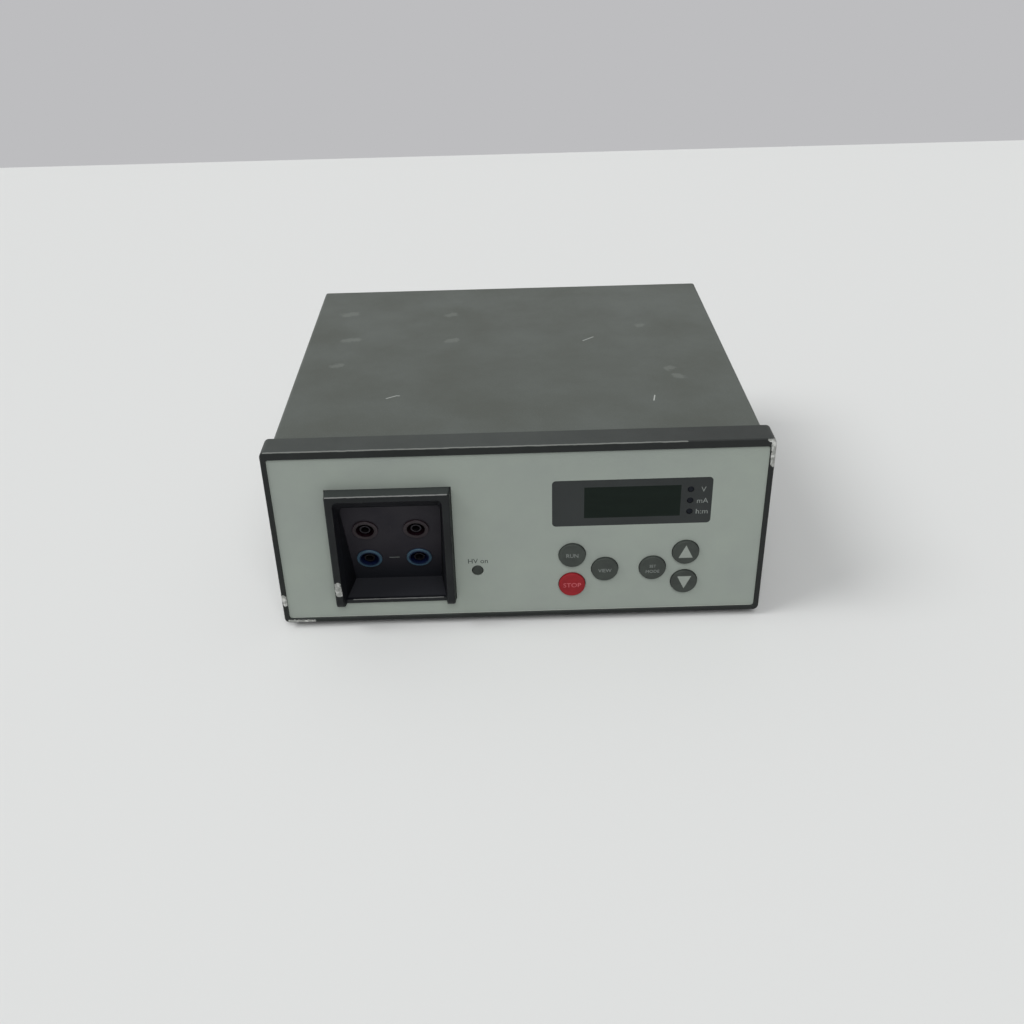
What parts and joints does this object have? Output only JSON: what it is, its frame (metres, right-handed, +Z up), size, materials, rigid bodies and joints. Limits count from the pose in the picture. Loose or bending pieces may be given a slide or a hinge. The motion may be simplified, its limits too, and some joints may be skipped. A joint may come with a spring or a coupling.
{
  "type": "electrophoresis power supply",
  "caption": "Low bench power supply for gel tanks: sheet-steel case, front panel with round keys, digit display and hooded safety sockets, rear inlet, switch and fan.",
  "frame": {"origin": "on the bench, under the middle of the whole object's box", "axes": "+X to the right across the front, +Y from the front panel to the rear, +Z up; the front faces -Y"},
  "size_m": [0.242, 0.2344, 0.102],
  "materials": {
    "case_paint": "fine textured powder coat, grey green",
    "bezel_plastic": "satin moulded ABS, near black",
    "overlay_film": "printed polyester film, pale grey green",
    "surround_print": "dark grey printed film",
    "filter_window": "dark green acrylic filter",
    "key_grey": "matt printed key, dark grey",
    "key_red": "matt printed key, red",
    "lamp_clear": "tinted epoxy lamp",
    "socket_red": "dark red polyamide",
    "socket_blue": "dark blue polyamide",
    "recess_plastic": "moulded black ABS",
    "plated_brass": "nickel plated brass",
    "zinc_steel": "bright zinc plated steel",
    "circuit_board": "glass epoxy board, green solder mask",
    "black_component": "moulded epoxy, black",
    "ferrite": "sintered ferrite",
    "copper_coil": "enamelled copper winding",
    "heat_sink_aluminium": "extruded, plain",
    "sleeve_blue": "printed shrink sleeve",
    "relay_white": "moulded housing, off white",
    "film_yellow": "dipped film capacitor",
    "inlet_plastic": "glass filled polyamide, black",
    "fuse_glass": "glass tube with plated caps",
    "fan_plastic": "glass filled polyester, black",
    "chrome_wire": "bright plated wire",
    "foot_rubber": "moulded rubber",
    "wire_red": "silicone insulated wire",
    "wire_brown": "PVC insulated wire",
    "ribbon_grey": "PVC ribbon cable",
    "terminal_green": "moulded terminal block"
  },
  "bodies": {
    "case": {"base_tray": "case_paint", "blue_sockets": "socket_blue", "board_connectors": "terminal_green", "board_screws": "zinc_steel", "board_standoffs": "plated_brass", "bulk_capacitors": "sleeve_blue", "choke_coil": "copper_coil", "choke_core": "ferrite", "control_chips": "black_component", "cover_screws": "zinc_steel", "digit_display": "black_component", "display_surround": "surround_print", "display_window": "filter_window", "earth_stud": "plated_brass", "fan_frame": "fan_plastic", "fan_guard": "chrome_wire", "fan_screws": "zinc_steel", "fan_stator": "ferrite", "feet": "foot_rubber", "film_capacitors": "film_yellow", "foot_screws": "zinc_steel", "front_bezel": "bezel_plastic", "front_board": "circuit_board", "front_overlay": "overlay_film", "heat_sink": "heat_sink_aluminium", "inlet_screws": "zinc_steel", "main_board": "circuit_board", "mains_contacts": "plated_brass", "mains_inlet": "inlet_plastic", "mains_wires": "wire_brown", "output_relays": "relay_white", "output_wires": "wire_red", "panel_screws": "zinc_steel", "power_transistors": "black_component", "push_switches": "black_component", "rear_panel": "case_paint", "red_sockets": "socket_red", "ribbon_cable": "ribbon_grey", "socket_contacts": "plated_brass", "socket_hood": "bezel_plastic", "socket_nuts": "plated_brass", "socket_plate": "recess_plastic", "socket_recess": "recess_plastic", "status_lamps": "lamp_clear", "switch_frame": "inlet_plastic", "top_cover": "case_paint", "transformer_coil": "copper_coil", "transformer_core": "ferrite", "transistor_screws": "zinc_steel", "voltage_lamp": "lamp_clear"},
    "key_run": {"key_run": "key_grey"},
    "key_stop": {"key_stop": "key_red"},
    "key_view": {"key_view": "key_grey"},
    "key_set": {"key_set": "key_grey"},
    "key_up": {"key_up": "key_grey"},
    "key_down": {"key_down": "key_grey"},
    "switch_rocker": {"switch_rocker": "inlet_plastic"},
    "fuse_drawer": {"fuse_drawer": "inlet_plastic", "fuses": "fuse_glass"},
    "fan_rotor": {"fan_rotor": "fan_plastic"}
  },
  "joints": [
    {"name": "key_run_press", "type": "slide", "parent": "case", "child": "key_run", "axis": [0, 1, 0], "range_m": [0, 0.0005], "stiffness_N_per_m": 2500},
    {"name": "key_stop_press", "type": "slide", "parent": "case", "child": "key_stop", "axis": [0, 1, 0], "range_m": [0, 0.0005], "stiffness_N_per_m": 2500},
    {"name": "key_view_press", "type": "slide", "parent": "case", "child": "key_view", "axis": [0, 1, 0], "range_m": [0, 0.0005], "stiffness_N_per_m": 2500},
    {"name": "key_set_press", "type": "slide", "parent": "case", "child": "key_set", "axis": [0, 1, 0], "range_m": [0, 0.0005], "stiffness_N_per_m": 2500},
    {"name": "key_up_press", "type": "slide", "parent": "case", "child": "key_up", "axis": [0, 1, 0], "range_m": [0, 0.0005], "stiffness_N_per_m": 2500},
    {"name": "key_down_press", "type": "slide", "parent": "case", "child": "key_down", "axis": [0, 1, 0], "range_m": [0, 0.0005], "stiffness_N_per_m": 2500},
    {"name": "switch_rocker_tilt", "type": "hinge", "parent": "case", "child": "switch_rocker", "pos_m": [0.03, 0.11104, 0.0525], "axis": [1, 0, 0], "range_deg": [0, 24]},
    {"name": "fuse_drawer_slide", "type": "slide", "parent": "case", "child": "fuse_drawer", "axis": [0, 1, 0], "range_m": [0, 0.018]},
    {"name": "fan_rotor_spin", "type": "hinge", "parent": "case", "child": "fan_rotor", "pos_m": [-0.062, 0.10054, 0.0525], "axis": [0, 1, 0], "continuous": true}
  ]
}
